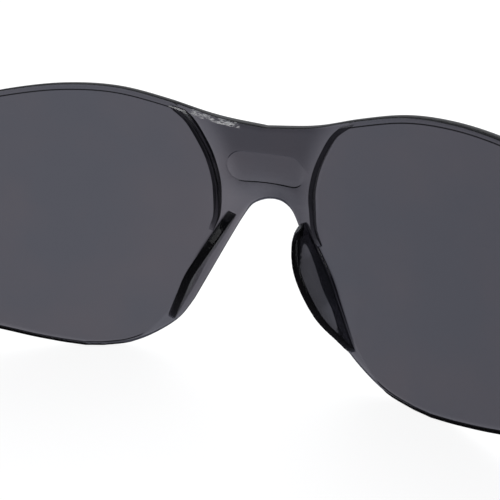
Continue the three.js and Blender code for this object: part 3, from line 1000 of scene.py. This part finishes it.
def turned_steel(name):
    """Bright steel with fine turning lines round its axis and faint stains."""
    material, tree, shader = node_material(name)
    shader.inputs["Metallic"].default_value = 1.0
    coords = add_node(tree, "ShaderNodeTexCoord").outputs["Object"]
    stain = texture(tree, coords, "ShaderNodeTexNoise", {"Scale": 700.0, "Detail": 4.0})
    tone = color_ramp(tree, stain.outputs["Fac"], (0.3, (0.42, 0.42, 0.43)), (0.7, (0.68, 0.68, 0.67)))
    tree.links.new(tone, shader.inputs["Base Color"])
    vary_roughness(tree, shader, stain.outputs["Fac"], {"To Min": 0.2, "To Max": 0.42})
    lines = texture(tree, coords, "ShaderNodeTexWave", {"Scale": 2200.0, "Distortion": 1.5, "Detail": 2.0},
                    wave_type="BANDS", bands_direction="Z")
    add_bump(tree, shader, lines.outputs["Fac"], 0.2, 0.00005)
    return material


# ---- set and camera ---------------------------------------------------------------------------------

def make_set():
    """White floor, studio dome and two soft panels."""
    half = FLOOR_SIZE / 2
    corners = [(x, y, 0) for x, y in rectangle(-half, half, -half, half)]
    floor = new_object("floor", corners, [(0, 1, 2, 3)])
    material, tree, shader = node_material("floor_white")
    shader.inputs["Base Color"].default_value = (FLOOR_TONE, FLOOR_TONE, FLOOR_TONE, 1)
    shader.inputs["Roughness"].default_value = 0.6
    shader.inputs["Emission Color"].default_value = (1, 1, 1, 1)
    shader.inputs["Emission Strength"].default_value = FLOOR_GLOW
    floor.data.materials.append(material)
    floor.visible_glossy = False
    bpy.context.scene.world = studio_world()
    for name, (spot, size, power) in PANELS.items():
        soft_light(name, spot, size, power)
    bpy.context.scene.view_settings.view_transform = "Standard"


def studio_world():
    """A soft dome, bright over and in front of the glasses; the camera sees plain white instead."""
    world = bpy.data.worlds.new("studio")
    world.use_nodes = True
    tree = world.node_tree
    link = tree.links.new
    sky = tree.nodes["Background"]
    sky.inputs["Strength"].default_value = 1.0
    coords = add_node(tree, "ShaderNodeTexCoord")
    tilt = add_node(tree, "ShaderNodeVectorMath", operation="DOT_PRODUCT")
    tilt.inputs[1].default_value = DOME_DIRECTION
    link(coords.outputs["Generated"], tilt.inputs[0])
    dome = color_ramp(tree, tilt.outputs["Value"], (0.0, DOME_DIM), (0.75, DOME_BRIGHT))
    path = add_node(tree, "ShaderNodeLightPath")
    mix = add_node(tree, "ShaderNodeMix", data_type="RGBA")
    link(path.outputs["Is Camera Ray"], mix.inputs["Factor"])
    link(dome, mix.inputs["A"])
    mix.inputs["B"].default_value = (1, 1, 1, 1)
    link(mix.outputs["Result"], sky.inputs["Color"])
    return world


def soft_light(name, place, size, power):
    """A square panel that faces the glasses and isn't seen itself."""
    light = bpy.data.lights.new(name, "AREA")
    light.shape = "SQUARE"
    light.size = size
    light.energy = power
    obj = bpy.data.objects.new(name, light)
    obj.location = place
    obj.rotation_euler = (-Vector(place)).to_track_quat("-Z", "Y").to_euler()
    obj.visible_camera = False
    bpy.context.scene.collection.objects.link(obj)


def make_camera():
    """Camera behind the glasses, on the wearer's side, close to the bridge."""
    target = Vector((CAMERA_ASIDE, BOWL_Y, CAMERA_TARGET_UP)) * MM
    a, e = CAMERA_AZIMUTH, CAMERA_ELEVATION
    back = Vector((math.sin(a) * math.cos(e), -math.cos(a) * math.cos(e), math.sin(e)))
    camera = bpy.data.cameras.new("camera")
    camera.lens = CAMERA_LENS
    camera.clip_start = 0.01
    obj = bpy.data.objects.new("camera", camera)
    obj.location = target + back * CAMERA_DISTANCE * MM
    obj.rotation_euler = (-back).to_track_quat("-Z", "Y").to_euler()
    bpy.context.scene.collection.objects.link(obj)
    bpy.context.scene.camera = obj


def place(obj, name, material, body, node, slot):
    """Names a finished piece, gives it its material and ties it to the frame."""
    obj.name = obj.data.name = name
    obj.data.materials.clear()
    obj.data.materials.append(material)
    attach(obj, body)
    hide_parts(node)


def place_pair(obj, name, material, body, node, slot):
    """A piece of the wearer's left side, and its mirror image on the right."""
    other = mirrored_copy(obj, "other")
    place(obj, "left_" + name, material, body.format("left"), "left_" + node, slot)
    place(other, "right_" + name, material, body.format("right"), "right_" + node, slot)


make_camera()
make_set()
clear_smoke = smoke_polycarbonate("smoke_lens_polycarbonate", edge_marks=True)
smoke = smoke_polycarbonate("smoke_arm_polycarbonate")
rubber = soft_rubber("soft_black_rubber")
steel = turned_steel("turned_steel")
place(make_front(), "front_moulding", clear_smoke, "front", "lens_front", "smoke_front")
place_pair(make_arm("arm"), "arm", smoke, "{}_temple", "temple_arm", "smoke_arm")
place_pair(make_sleeve("sleeve"), "sleeve", rubber, "{}_temple", "temple_sleeve", "soft_sleeve")
place_pair(make_screw("screw"), "screw", steel, "front", "hinge_screw", "screw_steel")
